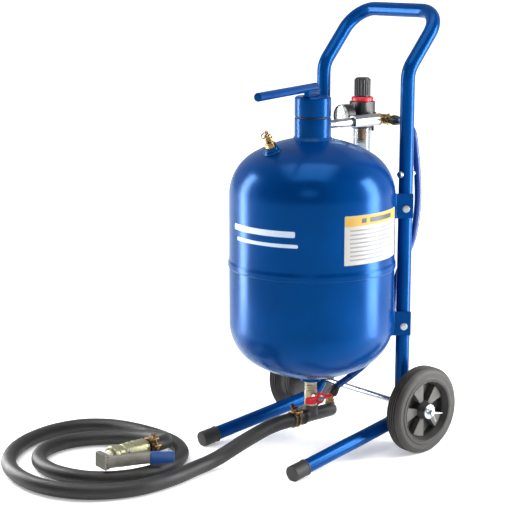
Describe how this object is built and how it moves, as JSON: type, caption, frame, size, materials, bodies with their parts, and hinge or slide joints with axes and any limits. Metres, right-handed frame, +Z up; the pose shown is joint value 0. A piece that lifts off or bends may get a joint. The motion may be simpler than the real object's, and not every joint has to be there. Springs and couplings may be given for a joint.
{
  "type": "portable abrasive blaster",
  "caption": "Portable pressure-pot abrasive blaster: domed blue tank on a wheeled hand-truck frame, with filter regulator, media valve, blast hose and shut-off gun.",
  "frame": {"origin": "floor level, under the middle of the blaster without its free hose", "axes": "+Z up along the tank's axis, +Y towards the wheels and the leaning handle, +X to the side of the air hose; the feet and the blast hose point along -Y"},
  "size_m": [0.5113, 0.7138, 0.7538],
  "materials": {
    "blue_paint": "gloss blue powder coat",
    "black_rubber": "matt black",
    "tyre_rubber": "matt black",
    "black_plastic": "satin black",
    "zinc_plate": "bright zinc plate",
    "brass_bare": "bare brass",
    "red_plastic": "gloss red",
    "blue_plastic": "gloss blue",
    "grey_iron": "dark grey, painted",
    "clear_plastic": "clear polycarbonate",
    "white_face": "printed face",
    "sintered_bronze": "sintered, matt",
    "cast_aluminium": "as cast, cream tinted",
    "white_ceramic": "fired ceramic"
  },
  "bodies": {
    "frame": {"left_rail": "blue_paint", "right_rail": "blue_paint", "handle_loop": "blue_paint", "handle_bolt_left": "zinc_plate", "handle_bolt_right": "zinc_plate", "left_foot_cap": "black_rubber", "right_foot_cap": "black_rubber", "axle": "zinc_plate", "left_washer": "zinc_plate", "right_washer": "zinc_plate", "left_cotter_pin": "zinc_plate", "right_cotter_pin": "zinc_plate", "tank_upper_shell": "blue_paint", "tank_lower_shell": "blue_paint", "filler_neck": "blue_paint", "bracket_bolt_lower_left": "zinc_plate", "bracket_bolt_lower_right": "zinc_plate", "bracket_bolt_upper_left": "zinc_plate", "bracket_bolt_upper_right": "zinc_plate", "relief_boss": "blue_paint", "relief_valve_body": "brass_bare", "outlet_boss": "blue_paint", "media_valve_body": "cast_aluminium", "mixing_tee": "grey_iron", "air_elbow": "brass_bare", "air_hose": "blue_plastic", "manifold_nipple": "zinc_plate", "manifold_sleeve": "zinc_plate", "manifold_tee": "brass_bare", "regulator_body": "black_plastic", "regulator_ring": "red_plastic", "gauge_case": "black_plastic", "gauge_dial": "white_face", "gauge_lens": "clear_plastic", "filter_bowl": "clear_plastic", "filter_element": "sintered_bronze", "inlet_plug": "zinc_plate", "blast_hose": "black_rubber", "hose_clamp_tee": "brass_bare", "hose_clamp_gun": "brass_bare", "gun_body": "cast_aluminium", "gun_nozzle": "white_ceramic", "gun_pivot_pin": "zinc_plate"},
    "left_wheel": {"left_wheel_hub": "black_plastic", "left_tyre": "tyre_rubber"},
    "right_wheel": {"right_wheel_hub": "black_plastic", "right_tyre": "tyre_rubber"},
    "cap_seal": {"cap_gasket": "black_rubber"},
    "cap": {"filler_cap": "blue_paint", "cap_handle_bar": "blue_paint"},
    "relief_stem": {"relief_stem": "brass_bare"},
    "relief_ring": {"relief_pull_ring": "zinc_plate"},
    "pressure_knob": {"regulator_knob": "black_plastic"},
    "pointer": {"gauge_pointer": "black_plastic"},
    "drain": {"bowl_drain": "brass_bare"},
    "media_handle": {"media_valve_ball": "zinc_plate", "media_valve_handle": "red_plastic", "media_handle_nut": "zinc_plate"},
    "gun_lever": {"gun_lever": "zinc_plate", "gun_grip": "blue_plastic"}
  },
  "joints": [
    {"name": "left_wheel_spin", "type": "hinge", "parent": "frame", "child": "left_wheel", "pos_m": [-0.1495, 0.10505, 0.075], "axis": [1, 0, 0], "continuous": true},
    {"name": "right_wheel_spin", "type": "hinge", "parent": "frame", "child": "right_wheel", "pos_m": [0.1495, 0.10505, 0.075], "axis": [1, 0, 0], "continuous": true},
    {"name": "cap_rise", "type": "slide", "parent": "frame", "child": "cap_seal", "axis": [0, 0, 1], "range_m": [0, 0.00175]},
    {"name": "cap_turn", "type": "hinge", "parent": "cap_seal", "child": "cap", "pos_m": [0, -0.01395, 0.588], "axis": [0, 0, 1], "range_deg": [0, 105]},
    {"name": "relief_lift", "type": "slide", "parent": "frame", "child": "relief_stem", "axis": [0, -0.3746, 0.9272], "range_m": [0, 0.003], "stiffness_N_per_m": 2000, "springref_m": -0.004},
    {"name": "relief_ring_swing", "type": "hinge", "parent": "relief_stem", "child": "relief_ring", "pos_m": [-0.0066, -0.11064, 0.55232], "axis": [1, 0, 0], "range_deg": [-110, 0]},
    {"name": "pressure_adjust", "type": "hinge", "parent": "frame", "child": "pressure_knob", "pos_m": [-0.05, 0.15105, 0.607], "axis": [0, 0, 1], "range_deg": [-1080, 0]},
    {"name": "gauge_needle", "type": "hinge", "parent": "frame", "child": "pointer", "pos_m": [-0.05, 0.10305, 0.56], "axis": [0, 1, 0], "range_deg": [0, 270], "stiffness_Nm_per_rad": 0.0005, "springref_deg": -11.46},
    {"name": "bowl_drain_press", "type": "slide", "parent": "frame", "child": "drain", "axis": [0, 0, 1], "range_m": [0, 0.002], "stiffness_N_per_m": 400, "springref_m": -0.003},
    {"name": "media_valve_turn", "type": "hinge", "parent": "frame", "child": "media_handle", "pos_m": [0.024, -0.01395, 0.09], "axis": [1, 0, 0], "range_deg": [0, 90]},
    {"name": "gun_squeeze", "type": "hinge", "parent": "frame", "child": "gun_lever", "pos_m": [-0.05603, -0.35995, 0.0409], "axis": [0.0523, 0, 0.9986], "range_deg": [0, 18], "stiffness_Nm_per_rad": 0.6, "springref_deg": -17.19}
  ],
  "couplings": [
    {"joint": "cap_rise", "follows": "cap_turn", "m_per_rad": 0.00095493}
  ]
}
